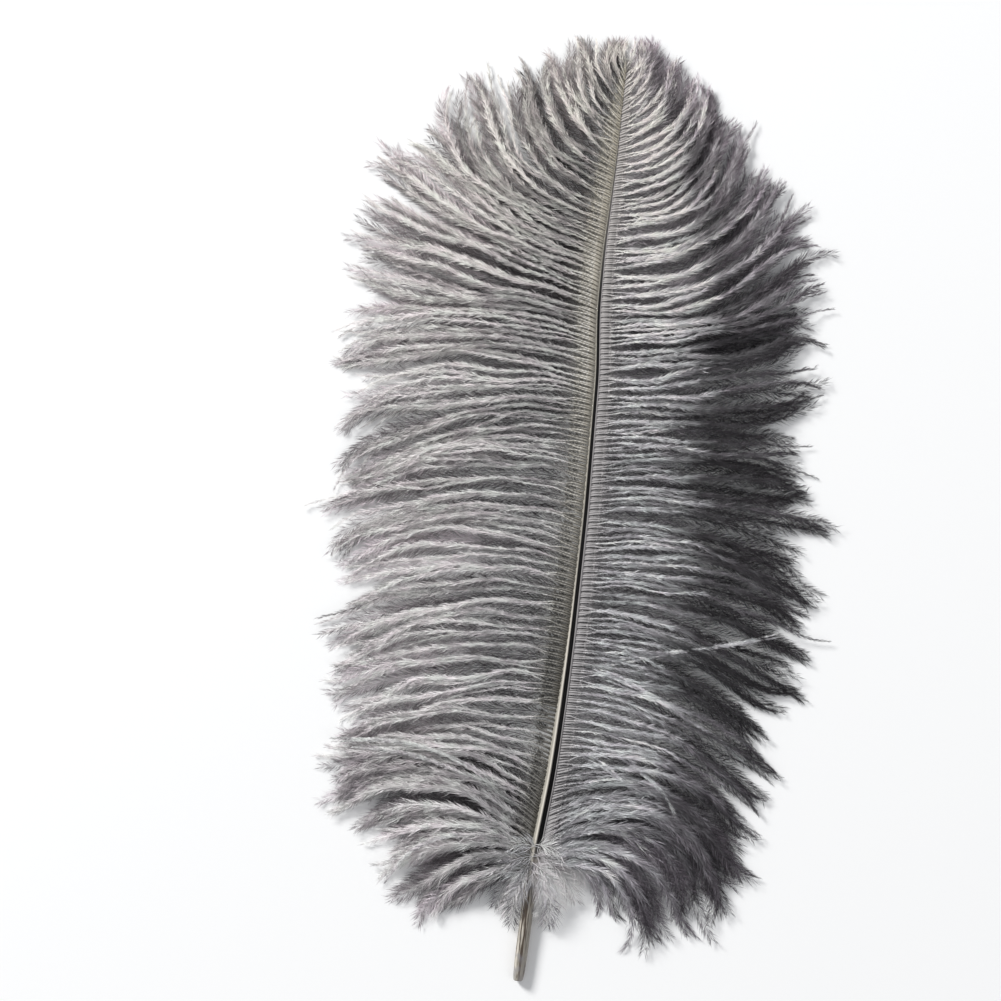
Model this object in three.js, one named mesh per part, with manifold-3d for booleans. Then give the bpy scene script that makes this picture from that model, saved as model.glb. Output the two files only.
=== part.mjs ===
// An ostrich feather that lies on a surface with the grooved side of its shaft up.
// Units are millimetres, +Z is up and the feather points along +Y, from the quill to the tip.
// "along" is a distance from the end of the quill towards the tip, and "across" is measured
// from the line that joins the shaft's two ends, with +X on the right.

import * as THREE from 'three';
import Module from 'manifold-3d';

// ---------------------------------------------------------------- driving dimensions

const SHAFT_LENGTH = 333;
const QUILL_WIDTH = 4.4;
const QUILL_END = 2;
const SHAFT_TIP_WIDTH = 0.7;
const VANE_START = 41;
const VANE_END = 331;
const GROOVE_START = 46;
const GROOVE_RUNOUT = 12;
const GROOVE_WIDTH_SHARE = 0.46;
const GROOVE_DEPTH_SHARE = 0.42;
const SHAFT_STEPS = 30;

const LOCKS_PER_VANE = 32;
const LOCK_STEPS = 8;
const LOCK_THICKNESS = 3.8;
const TIP_THICKNESS_SHARE = 0.35;
const THINNING_FROM = 0.5;
const CLEARANCE = 0.32;

// A lock's half width: at most the first, less where the barbs run along the shaft or are short.
const LOCK_HALF_WIDTH = 6.6;
const NARROWEST_SHARE = 0.55;
const SHORT_LOCK_SHARE = 0.22;
const SHORT_LOCK_HALF_WIDTH = 1.8;

// How a lock arches: its crest over a straight line from the root to where it lies down, which
// is given as a share of its length, and how it leans on the next lock like a roof's shingle.
const CREST_RISE = 8.4;
const FULL_CREST_LENGTH = 70;
const CREST_SHARPNESS = 1.5;
const LYING_FROM = 0.78;
const SHINGLE_TILT = 0.5;
const TILTED_FROM = 0.25;

// How far the locks differ from each other: sway in radians, place along in millimetres, and
// the others as shares.
const LOCK_SWAY = 0.12;
const PLACE_WOBBLE = 0.8;
const LENGTH_WOBBLE = 0.05;
const CREST_WOBBLE = 0.12;
const THICKNESS_WOBBLE = 0.1;

// The band of barb roots beside the shaft. ROOT_REACH is how far a lock starts behind its root,
// so that it is fused to the band for its whole width.
const BAND_WIDTH = 9;
const BAND_WIDTH_SHARE = 0.3;
const BAND_THICKNESS = 2.6;
const BAND_EDGE_SHARE = 0.7;
const BAND_CLIMB = 1.3;
const BAND_OVERRUN = 3;
const BAND_STEPS = 16;
const ROOT_REACH = 9;

// The sideways bow of the shaft, as [along, across].
const SHAFT_BOW = [
  [0, 0], [44, 0.5], [75, 3.1], [110, 4.3], [131, 4.7], [170, 4.4], [220, 2.7], [242, 0.4],
  [262, -0.1], [300, 0.6], [333, 0],
];

// The height of the shaft's middle over the surface, and its width.
const SHAFT_RISE = [[0, 2.05], [12, 2.05], [41, 3.4], [150, 4.8], [260, 4.0], [333, 1.6]];
const SHAFT_WIDTH = [
  [0, 2.6], [QUILL_END, 3.6], [8, QUILL_WIDTH], [45, 4.6], [130, 3.6], [230, 2.4], [333, SHAFT_TIP_WIDTH],
];

// How the barbs leave the shaft: at each place along it their length, and their heading at
// the root and at the tip, in degrees away from the direction of the feather's tip.
const LEFT_BARBS = [
  { along: 41, length: 44, root: 115, tip: 142 },
  { along: 44, length: 60, root: 92, tip: 135 },
  { along: 48, length: 76, root: 62, tip: 122 },
  { along: 60, length: 80, root: 62, tip: 115 },
  { along: 80, length: 83, root: 75, tip: 112 },
  { along: 100, length: 86, root: 92, tip: 122 },
  { along: 155, length: 96, root: 82, tip: 116 },
  { along: 201, length: 99, root: 90, tip: 122 },
  { along: 234, length: 97, root: 84, tip: 96 },
  { along: 253, length: 93, root: 80, tip: 66 },
  { along: 266, length: 85, root: 82, tip: 24 },
  { along: 290, length: 58, root: 78, tip: 8 },
  { along: 311, length: 34, root: 68, tip: 2 },
  { along: 326, length: 17, root: 46, tip: 0 },
  { along: 333, length: 8, root: 14, tip: 0 },
];
const RIGHT_BARBS = [
  { along: 41, length: 78, root: 70, tip: 172 },
  { along: 46, length: 88, root: 52, tip: 160 },
  { along: 60, length: 84, root: 62, tip: 140 },
  { along: 92, length: 82, root: 90, tip: 127 },
  { along: 117, length: 86, root: 90, tip: 124 },
  { along: 155, length: 87, root: 84, tip: 108 },
  { along: 184, length: 84, root: 83, tip: 96 },
  { along: 220, length: 81, root: 84, tip: 70 },
  { along: 247, length: 76, root: 88, tip: 26 },
  { along: 272, length: 60, root: 86, tip: 4 },
  { along: 295, length: 41, root: 78, tip: -4 },
  { along: 311, length: 29, root: 66, tip: -4 },
  { along: 326, length: 16, root: 46, tip: 0 },
  { along: 333, length: 8, root: 14, tip: 0 },
];

// A lock's half width along its length, as a share of its widest.
const LOCK_OUTLINE = [[0, 1.15], [0.35, 1], [0.6, 1], [0.8, 0.84], [0.93, 0.42], [1, 0.06]];

// A lock's section, as [half widths to its right, thicknesses up], seen from its tip.
const LOCK_SECTION = [[1, 0], [-1, 0], [0, 1]];

// ---------------------------------------------------------------- small helpers

const wasm = await Module();
wasm.setup();

const mix = (a, b, t) => a + (b - a) * t;
const clamp01 = (t) => Math.min(1, Math.max(0, t));
const smooth = (t) => clamp01(t) ** 2 * (3 - 2 * clamp01(t));
const radians = (degrees) => THREE.MathUtils.degToRad(degrees);

// The value at x of a line through the points [x, value].
function readLine(points, x) {
  const last = points.length - 1;
  if (x <= points[0][0]) return points[0][1];
  if (x >= points[last][0]) return points[last][1];
  const i = points.findIndex((point) => point[0] > x);
  const [x0, y0] = points[i - 1];
  const [x1, y1] = points[i];
  return mix(y0, y1, (x - x0) / (x1 - x0));
}

// The barbs' length and headings at one place along the shaft.
function readBarbs(table, along) {
  const read = (key) => readLine(table.map((row) => [row.along, row[key]]), along);
  return { length: read('length'), root: radians(read('root')), tip: radians(read('tip')) };
}

// Evenly spread numbers from -1 to 1 that are the same on every run.
function makeWobble(seed) {
  let state = seed;
  return () => {
    state = (state * 1664525 + 1013904223) % 4294967296;
    return (state / 4294967296) * 2 - 1;
  };
}

// A closed skin over rings of points: each ring has as many points as the next, listed
// anticlockwise as seen looking back along the skin's direction of travel.
function skinRings(rings, capOutline) {
  const count = rings[0].length;
  const indices = [];
  for (let r = 0; r + 1 < rings.length; r += 1) {
    for (let i = 0; i < count; i += 1) {
      const a = r * count + i;
      const b = r * count + ((i + 1) % count);
      indices.push(a, b, b + count, a, b + count, a + count);
    }
  }
  const lastRing = (rings.length - 1) * count;
  for (const [a, b, c] of THREE.ShapeUtils.triangulateShape(capOutline(0), [])) {
    indices.push(c, b, a);
  }
  for (const [a, b, c] of THREE.ShapeUtils.triangulateShape(capOutline(rings.length - 1), [])) {
    indices.push(lastRing + a, lastRing + b, lastRing + c);
  }
  const geometry = new THREE.BufferGeometry();
  const corners = rings.flat().flatMap((point) => [point.x, point.y, point.z]);
  geometry.setAttribute('position', new THREE.Float32BufferAttribute(corners, 3));
  geometry.setIndex(indices);
  return geometry;
}

function toSolid(geometry) {
  return new wasm.Manifold(new wasm.Mesh({
    numProp: 3,
    vertProperties: new Float32Array(geometry.attributes.position.array),
    triVerts: new Uint32Array(geometry.index.array),
  }));
}

function toGeometry(solid) {
  const mesh = solid.getMesh();
  const geometry = new THREE.BufferGeometry();
  geometry.setAttribute('position', new THREE.BufferAttribute(mesh.vertProperties, 3));
  geometry.setIndex(new THREE.BufferAttribute(mesh.triVerts, 1));
  geometry.computeVertexNormals();
  return geometry;
}

// ---------------------------------------------------------------- the shaft

const bowCurve = new THREE.CatmullRomCurve3(
  SHAFT_BOW.map(([along, across]) => new THREE.Vector3(across, along, 0)),
);
const bowLine = bowCurve.getPoints(80).map((point) => [point.y, point.x]);
const bowAt = (along) => readLine(bowLine, along);
const riseAt = (along) => readLine(SHAFT_RISE, along);
const widthAt = (along) => readLine(SHAFT_WIDTH, along);

// The shaft's section in half widths: round and flattened below, with its groove on top.
// Where the groove is closed, on the quill, its four points lie on the round top instead.
function shaftOutline(groove) {
  const rim = GROOVE_WIDTH_SHARE;
  const floor = 1 - 2 * GROOVE_DEPTH_SHARE;
  return [
    [-0.45, -0.92], [0.45, -0.92], [0.88, -0.5], [1, 0.05], [0.86, 0.58],
    [mix(0.56, rim + 0.1, groove), mix(0.84, 0.8, groove)],
    [mix(0.28, rim * 0.55, groove), mix(0.96, floor, groove)],
    [mix(-0.28, -rim * 0.55, groove), mix(0.96, floor, groove)],
    [mix(-0.56, -rim - 0.1, groove), mix(0.84, 0.8, groove)],
    [-0.86, 0.58], [-1, 0.05], [-0.88, -0.5],
  ];
}

function makeShaft() {
  const places = [0, QUILL_END];
  for (let i = 1; i <= SHAFT_STEPS; i += 1) {
    places.push(mix(QUILL_END, SHAFT_LENGTH, i / SHAFT_STEPS));
  }
  const outlineAt = (along) => shaftOutline(smooth((along - GROOVE_START) / GROOVE_RUNOUT));
  const rings = places.map((along) => {
    const half = widthAt(along) / 2;
    // The ring is read in reverse because it is seen from the quill's end.
    return outlineAt(along).reverse().map(([side, up]) => (
      new THREE.Vector3(bowAt(along) + side * half, along, riseAt(along) + up * half)
    ));
  });
  const capOutline = (ring) => rings[ring].map((point) => new THREE.Vector2(-point.x, point.z));
  return skinRings(rings, capOutline);
}

// ---------------------------------------------------------------- the vanes

// The line that one lock follows, as its places { q, across, along, heading }, where q runs
// from 0 at the shaft to 1 at the tip. It starts behind the root, beyond the shaft's middle.
function traceLock(barbs, side, along, sway, length) {
  const stride = length / LOCK_STEPS;
  const root = { q: 0, across: bowAt(along), along, heading: barbs.root };
  const places = [{
    ...root,
    across: root.across - side * ROOT_REACH * Math.sin(barbs.root),
    along: along - ROOT_REACH * Math.cos(barbs.root),
  }];
  let last = root;
  for (let step = 1; step <= LOCK_STEPS; step += 1) {
    const q = step / LOCK_STEPS;
    const heading = mix(barbs.root, barbs.tip, smooth(q)) + sway * Math.sin(Math.PI * q);
    last = {
      q,
      across: last.across + side * stride * Math.sin(heading),
      along: last.along + stride * Math.cos(heading),
      heading,
    };
    places.push(last);
  }
  return places;
}

// One lock of barbs: a flat tapering blade that leaves the shaft, arches over, and lies on
// the surface with its outer part. side is -1 on the left and 1 on the right.
function makeLock(table, side, along, wobble) {
  const barbs = readBarbs(table, along);
  const sway = LOCK_SWAY * wobble();
  const length = barbs.length * (1 + LENGTH_WOBBLE * wobble());
  const fullness = clamp01(barbs.length / FULL_CREST_LENGTH);
  const crest = CREST_RISE * (1 + CREST_WOBBLE * wobble()) * fullness;
  const spread = Math.max(NARROWEST_SHARE, Math.sin((barbs.root + barbs.tip) / 2));
  const shortHalfWidth = SHORT_LOCK_SHARE * barbs.length + SHORT_LOCK_HALF_WIDTH;
  const halfWidth = Math.min(LOCK_HALF_WIDTH * spread, shortHalfWidth);
  const thickness = LOCK_THICKNESS * (1 + THICKNESS_WOBBLE * wobble());
  const rings = traceLock(barbs, side, along, sway, length).map((place) => {
    const { q, heading } = place;
    const half = halfWidth * readLine(LOCK_OUTLINE, q);
    const thinned = smooth((q - THINNING_FROM) / (1 - THINNING_FROM));
    const thick = thickness * mix(1, TIP_THICKNESS_SHARE, thinned);
    const lying = clamp01(q / LYING_FROM);
    const hump = crest * Math.sin(Math.PI * lying) ** CREST_SHARPNESS;
    const bottom = Math.max(0, mix(riseAt(along) - thick / 2, 0, smooth(lying)) + hump);
    const tilt = SHINGLE_TILT * smooth(q / TILTED_FROM) * (1 - smooth(lying));
    return LOCK_SECTION.map(([edge, up]) => new THREE.Vector3(
      place.across + edge * half * Math.cos(heading),
      place.along - side * edge * half * Math.sin(heading),
      bottom + up * thick + tilt * (1 - edge * side),
    ));
  });
  const capOutline = () => LOCK_SECTION.map(([edge, up]) => new THREE.Vector2(-edge, up));
  return skinRings(rings, capOutline);
}

// The close-set band of barb roots beside the shaft, before the barbs part into locks.
function makeRootBand(table, side) {
  const rings = [];
  for (let i = 0; i <= BAND_STEPS; i += 1) {
    const along = mix(VANE_START - BAND_OVERRUN, VANE_END + BAND_OVERRUN, i / BAND_STEPS);
    const width = Math.min(BAND_WIDTH, BAND_WIDTH_SHARE * readBarbs(table, along).length);
    const bottom = Math.max(0, riseAt(along) - LOCK_THICKNESS / 2);
    const inner = bowAt(along);
    const outer = bowAt(along) + side * (widthAt(along) / 2 + width);
    const outerTop = BAND_CLIMB + BAND_THICKNESS * BAND_EDGE_SHARE;
    const corners = [[inner, 0], [inner, BAND_THICKNESS], [outer, outerTop], [outer, BAND_CLIMB]];
    const ring = corners.map(([x, up]) => new THREE.Vector3(x, along, bottom + up));
    rings.push(side < 0 ? ring.reverse() : ring);
  }
  const capOutline = (ring) => rings[ring].map((point) => new THREE.Vector2(-point.x, point.z));
  return skinRings(rings, capOutline);
}

// All that lies on the far side of one flank of the shaft, with the clearance to that flank.
function makeFarSide(side) {
  const FAR = 200;
  const PAST_THE_ENDS = 40;
  const STEP = 8;
  const BELOW = -10;
  const ABOVE = 60;
  const rings = [];
  for (let along = -PAST_THE_ENDS; along <= SHAFT_LENGTH + PAST_THE_ENDS; along += STEP) {
    const flank = bowAt(along) + side * (widthAt(along) / 2 + CLEARANCE);
    const across = along > SHAFT_LENGTH ? side * CLEARANCE : flank;
    const corners = [[across, BELOW], [-side * FAR, BELOW], [-side * FAR, ABOVE], [across, ABOVE]];
    const ring = corners.map(([x, z]) => new THREE.Vector3(x, along, z));
    rings.push(side < 0 ? ring.reverse() : ring);
  }
  const capOutline = (ring) => rings[ring].map((point) => new THREE.Vector2(-point.x, point.z));
  return skinRings(rings, capOutline);
}

// Places for the locks along the shaft, closer together where the barbs' headings change
// fast, so that both their roots and their tips are spread evenly.
function spreadLocks(table, side) {
  const SAMPLES = 240;
  const marks = [];
  let measure = 0;
  let lastTip = null;
  for (let i = 0; i <= SAMPLES; i += 1) {
    const along = mix(VANE_START, VANE_END, i / SAMPLES);
    const barbs = readBarbs(table, along);
    const tip = traceLock(barbs, side, along, 0, barbs.length).at(-1);
    if (lastTip) {
      const tipStep = Math.hypot(tip.across - lastTip.across, tip.along - lastTip.along);
      measure += tipStep + (VANE_END - VANE_START) / SAMPLES;
    }
    marks.push([measure, along]);
    lastTip = tip;
  }
  const share = (i) => (measure * i) / (LOCKS_PER_VANE - 1);
  return Array.from({ length: LOCKS_PER_VANE }, (_, i) => readLine(marks, share(i)));
}

function makeVane(table, side, seed) {
  const wobble = makeWobble(seed);
  let vane = toSolid(makeRootBand(table, side));
  for (const even of spreadLocks(table, side)) {
    const along = Math.min(VANE_END, Math.max(VANE_START, even + PLACE_WOBBLE * wobble()));
    vane = vane.add(toSolid(makeLock(table, side, along, wobble)));
  }
  return toGeometry(vane.subtract(toSolid(makeFarSide(side))));
}

// ---------------------------------------------------------------- the feather

const horn = new THREE.MeshStandardMaterial({ color: 0xa89f8f, roughness: 0.45, metalness: 0 });
const leftBarbs = new THREE.MeshStandardMaterial({ color: 0xa3a0a3, roughness: 0.9, metalness: 0 });
const rightBarbs = new THREE.MeshStandardMaterial({ color: 0x7b7a80, roughness: 0.9, metalness: 0 });

function namedMesh(name, geometry, material) {
  const mesh = new THREE.Mesh(geometry, material);
  mesh.name = name;
  return mesh;
}

const feather = new THREE.Group();
feather.add(namedMesh('shaft', makeShaft(), horn));
feather.add(namedMesh('left_vane', makeVane(LEFT_BARBS, -1, 8), leftBarbs));
feather.add(namedMesh('right_vane', makeVane(RIGHT_BARBS, 1, 3), rightBarbs));

// The origin is under the middle of the whole feather, on the surface that it lies on.
const box = new THREE.Box3().setFromObject(feather);
const middle = box.getCenter(new THREE.Vector3());
feather.position.set(-middle.x, -middle.y, -box.min.z);

export default feather;
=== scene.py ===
# %% [markdown]
# # An ostrich feather
#
# An ostrich feather has one horn shaft and two wide, loose vanes. Unlike a goose or a pigeon
# feather, its barbs carry no hooks, so nothing zips them together: each barb hangs on its own,
# covered in long fine hairs called barbules, and the barbs gather into curling locks.
#
# The feather lies on a table with the grooved side of its shaft up. The measures below are
# millimetres, because that is how a feather is sold and measured, and every mesh is written in
# metres. "along" runs from the end of the quill to the tip, and "across" runs to the right.

# %% Load the frame
import math

import bpy
import numpy as np
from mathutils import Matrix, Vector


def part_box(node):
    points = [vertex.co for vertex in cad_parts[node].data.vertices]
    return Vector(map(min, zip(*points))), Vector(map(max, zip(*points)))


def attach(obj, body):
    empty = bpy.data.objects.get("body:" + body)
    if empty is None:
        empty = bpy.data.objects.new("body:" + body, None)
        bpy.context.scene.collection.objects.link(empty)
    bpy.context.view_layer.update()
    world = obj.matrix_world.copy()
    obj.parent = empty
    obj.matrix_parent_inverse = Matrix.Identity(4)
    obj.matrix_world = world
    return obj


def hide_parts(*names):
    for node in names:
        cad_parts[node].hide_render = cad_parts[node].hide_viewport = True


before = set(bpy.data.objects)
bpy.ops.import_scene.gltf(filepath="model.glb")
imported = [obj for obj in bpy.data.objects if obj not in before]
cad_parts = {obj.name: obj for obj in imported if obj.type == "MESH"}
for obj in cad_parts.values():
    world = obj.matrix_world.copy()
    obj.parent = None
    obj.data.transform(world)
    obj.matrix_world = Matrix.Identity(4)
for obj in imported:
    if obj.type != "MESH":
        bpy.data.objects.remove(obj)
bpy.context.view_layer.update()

MM = 0.001
shaft_low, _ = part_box("shaft")
# The quill's own axis is this many millimetres in from the left side of the shaft's box.
QUILL_LEFT_SIDE = 2.16
axis_x = shaft_low.x + QUILL_LEFT_SIDE * MM
end_y = shaft_low.y

# %% [markdown]
# ## The camera
#
# The camera looks straight down. A long lens from a metre away keeps the perspective weak. The
# feather leans a little to the right in the picture, so the camera is turned the other way
# around its own axis, and its aim is moved to the left of the feather.

# %% Camera
CAMERA_HEIGHT = 1.003
CAMERA_LENS = 100
CAMERA_LEAN = math.radians(6.77)
AIM_ACROSS = -26.6
AIM_ALONG = 171.0

camera_data = bpy.data.cameras.new("camera")
camera_data.lens = CAMERA_LENS
camera = bpy.data.objects.new("camera", camera_data)
camera.location = (axis_x + AIM_ACROSS * MM, end_y + AIM_ALONG * MM, CAMERA_HEIGHT)
camera.rotation_euler = (0, 0, CAMERA_LEAN)
bpy.context.collection.objects.link(camera)
bpy.context.scene.camera = camera
print("camera height over the surface:", CAMERA_HEIGHT)

# %% [markdown]
# ## The floor and the light
#
# A pale sheet lies under the feather. One large soft light stands to the upper left, so that
# every lock has a bright crest and a soft shadow on its right, and a wide dim one fills the
# shadows from the other side.

# %% Floor and lights
FLOOR_SIZE = 6.0
FLOOR_COLOUR = (1.0, 1.0, 0.99, 1)
FLOOR_ROUGHNESS = 0.9
SKY_COLOUR = (0.93, 0.95, 1.0, 1)
SKY_STRENGTH = 0.36
bpy.ops.mesh.primitive_plane_add(size=FLOOR_SIZE, location=(0, 0, 0))
floor = bpy.context.object
floor.name = "floor"
floor_finish = bpy.data.materials.new("pale paper")
floor_finish.use_nodes = True
floor_shader = floor_finish.node_tree.nodes["Principled BSDF"]
floor_shader.inputs["Base Color"].default_value = FLOOR_COLOUR
floor_shader.inputs["Roughness"].default_value = FLOOR_ROUGHNESS
floor.data.materials.append(floor_finish)


def add_soft_light(name, place, size, watts):
    """A square area light at place that faces the middle of the feather."""
    data = bpy.data.lights.new(name, "AREA")
    data.size = size
    data.energy = watts
    light = bpy.data.objects.new(name, data)
    light.location = place
    to_feather = -light.location
    light.rotation_euler = to_feather.to_track_quat("-Z", "Y").to_euler()
    bpy.context.collection.objects.link(light)


add_soft_light("window light", place=(-2.5, 1.9, 1.8), size=0.9, watts=150)
add_soft_light("fill light", place=(1.2, -0.6, 1.3), size=1.4, watts=5)
sky = bpy.data.worlds.new("soft sky")
sky.use_nodes = True
sky_light = sky.node_tree.nodes["Background"]
sky_light.inputs["Color"].default_value = SKY_COLOUR
sky_light.inputs["Strength"].default_value = SKY_STRENGTH
bpy.context.scene.world = sky
bpy.context.scene.view_settings.view_transform = "Standard"

# %% [markdown]
# ## The lines that everything follows
#
# The shaft isn't straight: it bows to the right by a few millimetres, and it rises off the
# table towards the middle. Both are short lists of points read with straight lines between
# them, and rounded off by averaging over a short stretch.

# %% The shaft's lines
SHAFT_LENGTH = 333
SHAFT_BOW = [
    (0, 0), (44, 0.5), (75, 3.1), (110, 4.3), (131, 4.7), (170, 4.4), (220, 2.7), (242, 0.4),
    (262, -0.1), (300, 0.6), (333, 0),
]
SHAFT_RISE = [(0, 2.05), (12, 2.05), (41, 3.4), (150, 4.8), (260, 4.0), (333, 1.6)]
SHAFT_WIDTH = [(0, 3.2), (2, 4.0), (8, 4.4), (45, 4.6), (130, 3.6), (230, 2.4), (333, 0.7)]


BOW_ROUNDING = 16
RISE_ROUNDING = 10


def read_pairs(pairs, at):
    """Values at places, read between the given pairs of (place, value)."""
    return np.interp(at, [place for place, _ in pairs], [value for _, value in pairs])


def rounded_line(points, window):
    """The points' values at each millimetre, averaged over a window, as (places, values)."""
    places = np.arange(-window, SHAFT_LENGTH + 2 * window, 1.0)
    first, last = points[0], points[-1]
    start_slope = (points[1][1] - first[1]) / (points[1][0] - first[0])
    end_slope = (last[1] - points[-2][1]) / (last[0] - points[-2][0])
    values = read_pairs(points, places)
    values += np.minimum(places - first[0], 0) * start_slope
    values += np.maximum(places - last[0], 0) * end_slope
    kernel = np.hanning(window + 2)[1:-1]
    averaged = np.convolve(values, kernel / kernel.sum(), mode="same")
    return places, averaged


bow_places, bow_values = rounded_line(SHAFT_BOW, BOW_ROUNDING)
rise_places, rise_values = rounded_line(SHAFT_RISE, RISE_ROUNDING)


def bow_at(along):
    return np.interp(along, bow_places, bow_values)


def rise_at(along):
    return np.interp(along, rise_places, rise_values)


def width_at(along):
    return read_pairs(SHAFT_WIDTH, along)


def to_frame(across, along, up):
    """Feather measures in millimetres to places in the frame in metres, as one array."""
    x = axis_x + across * MM
    y = end_y + along * MM
    return np.stack(np.broadcast_arrays(x, y, up * MM), axis=-1)


print("largest bow of the shaft:", round(float(bow_values.max()), 1), "mm")

# %% [markdown]
# ## The shaft
#
# The bare quill is a round horn tube. Where the vanes begin it becomes the rachis: a bar with
# flat flanks, and on this side a deep narrow groove with a pale lip on its left. It starts as a
# circle at the quill's end, extruded step by step along the bow and resized each time, as by
# hand. The groove is then pressed into the top and the lip raised beside it.

# %% Shaft: extrude the tube
SHAFT_SIDES = 40
QUILL_PLACES = [0.0, 0.5, 1.5, 3.0, 5.0, 8.0]
SHAFT_STEP = 4.0
SHAFT_TIP_STEP = 0.4


def extrude_tube(name, sides, stations):
    """A closed tube through stations of (across, along, up, half width), from a circle."""
    bpy.ops.object.select_all(action="DESELECT")
    across, along, up, half = stations[0]
    start = to_frame(across, along, up)
    facing_along = (math.pi / 2, 0, 0)
    bpy.ops.mesh.primitive_circle_add(
        vertices=sides, radius=half * MM, fill_type="NGON", location=start, rotation=facing_along
    )
    tube = bpy.context.object
    tube.name = name
    bpy.ops.object.transform_apply(location=True, rotation=True, scale=True)
    bpy.ops.object.mode_set(mode="EDIT")
    bpy.ops.mesh.select_all(action="SELECT")
    place, last_half = start, half
    for across, along, up, half in stations[1:]:
        step = to_frame(across, along, up) - place
        place = place + step
        bpy.ops.mesh.extrude_region_move(TRANSFORM_OT_translate={"value": step})
        grow = half / last_half
        bpy.ops.transform.resize(value=(grow, grow, grow), center_override=place)
        last_half = half
    bpy.ops.mesh.select_all(action="SELECT")
    bpy.ops.mesh.normals_make_consistent(inside=False)
    bpy.ops.object.mode_set(mode="OBJECT")
    return tube


shaft_places = list(QUILL_PLACES)
shaft_places += list(np.arange(QUILL_PLACES[-1] + SHAFT_STEP, SHAFT_LENGTH, SHAFT_STEP))
shaft_places += [SHAFT_LENGTH - SHAFT_TIP_STEP, float(SHAFT_LENGTH)]
shaft_stations = [
    (float(bow_at(a)), a, float(rise_at(a)), float(width_at(a)) / 2) for a in shaft_places
]
shaft = extrude_tube("feather_shaft", SHAFT_SIDES, shaft_stations)
print("shaft rings:", len(shaft_places), "faces:", len(shaft.data.polygons))

# %% [markdown]
# The groove, the lip and the flattened flanks are vertex moves: each vertex knows its place
# along the shaft and its angle around it, with 0 straight up and plus to the right, so a few
# smooth curves of those two press the whole form, softer than a boolean cut would. What lies in
# the groove, on the lip and on the right is kept as attributes for the finish to read.

# %% Shaft: press the groove
# Angles in radians. A pair of "from, over" says where a change starts and how far it takes.
GROOVE_START = (46, 5)
HALF_ANGLE = 0.47
FLAT_SHARE = 0.6
GROOVE_DEPTH = 1.05
WIDENING = 0.2
GROOVE_OFFSET = 0.32
OFFSET_FADE = (85, 60)
# How strongly and how far up the groove is painted dark: its dark pith with painted shade over it.
GROOVE_SHADE_GAIN = 1.7
GROOVE_SHADE_FADE = (235, 50)
LIP_RAISE = 0.10
LIP_EDGE = 0.12
LIP_REACH, LIP_FALL = 1.6, 0.3
LIP_FADE = (115, 45)
FLANK_FLATTEN = 0.14
UPPER_HALF = 1.57
RIGHT_EDGE = 1.2
LOWEST_HORN = 0.05


def ease(t):
    t = np.clip(t, 0, 1)
    return t * t * (3 - 2 * t)


def fade_in(value, start, over):
    """0 up to start, then smoothly to 1 over a stretch."""
    return ease((value - start) / over)


def fade_out(value, start, over):
    return 1 - fade_in(value, start, over)


def shape_shaft(tube):
    """Presses the groove, the lip and the flanks into the tube and stores where they are."""
    count = len(tube.data.vertices)
    points = np.empty(count * 3)
    tube.data.vertices.foreach_get("co", points)
    points = points.reshape(-1, 3)
    along = (points[:, 1] - end_y) / MM
    middle = to_frame(bow_at(along), along, rise_at(along))
    side = (points[:, 0] - middle[:, 0]) / MM
    up = (points[:, 2] - middle[:, 2]) / MM
    half = np.maximum(width_at(along) / 2, 1e-6)
    angle = np.arctan2(side, up)
    grooved = fade_in(along, *GROOVE_START)
    from_groove = angle - GROOVE_OFFSET * fade_out(along, *OFFSET_FADE)
    reach = HALF_ANGLE * (1 + WIDENING * fade_in(along, GROOVE_START[0], SHAFT_LENGTH))
    flat, wall = FLAT_SHARE * reach, (1 - FLAT_SHARE) * reach
    inside = grooved * fade_out(np.abs(from_groove), flat, wall)
    # The lip is also painted cream: partly pale horn, partly a painted highlight on the rim that faces the
    # light.
    lip = grooved * fade_in(-from_groove, reach, LIP_EDGE)
    lip = lip * fade_out(-from_groove, LIP_REACH * reach, LIP_FALL)
    lip = lip * fade_out(along, *LIP_FADE)
    up = up - inside * GROOVE_DEPTH * half + lip * LIP_RAISE * half
    upper_half = np.abs(angle) < UPPER_HALF
    side = side * (1 - grooved * FLANK_FLATTEN * np.cos(angle) ** 2 * upper_half * (1 - inside))
    points[:, 0] = middle[:, 0] + side * MM
    points[:, 2] = np.maximum(middle[:, 2] + up * MM, LOWEST_HORN * MM)
    tube.data.vertices.foreach_set("co", points.ravel())
    # The groove's near-black is partly its dark pith and partly painted shade in the recess.
    dark = np.minimum(GROOVE_SHADE_GAIN * inside, 1) * fade_out(along, *GROOVE_SHADE_FADE)
    # right: the flank away from the light, which the finish paints mauve-grey and browner as painted shade.
    right = ease(0.5 + RIGHT_EDGE * np.sin(angle))
    for name, values in (("groove", dark), ("lip", lip), ("right", right)):
        layer = tube.data.attributes.new(name, "FLOAT", "POINT")
        layer.data.foreach_set("value", values.astype(np.float32))
    tube.data.update()


shape_shaft(shaft)
bpy.context.view_layer.objects.active = shaft
shaft.select_set(True)
bpy.ops.object.modifier_add(type="SUBSURF")
shaft.modifiers[-1].levels = 1
shaft.modifiers[-1].render_levels = 1
bpy.ops.object.modifier_apply(modifier=shaft.modifiers[-1].name)
bpy.ops.object.shade_smooth()
print("shaft faces:", len(shaft.data.polygons))
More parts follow.
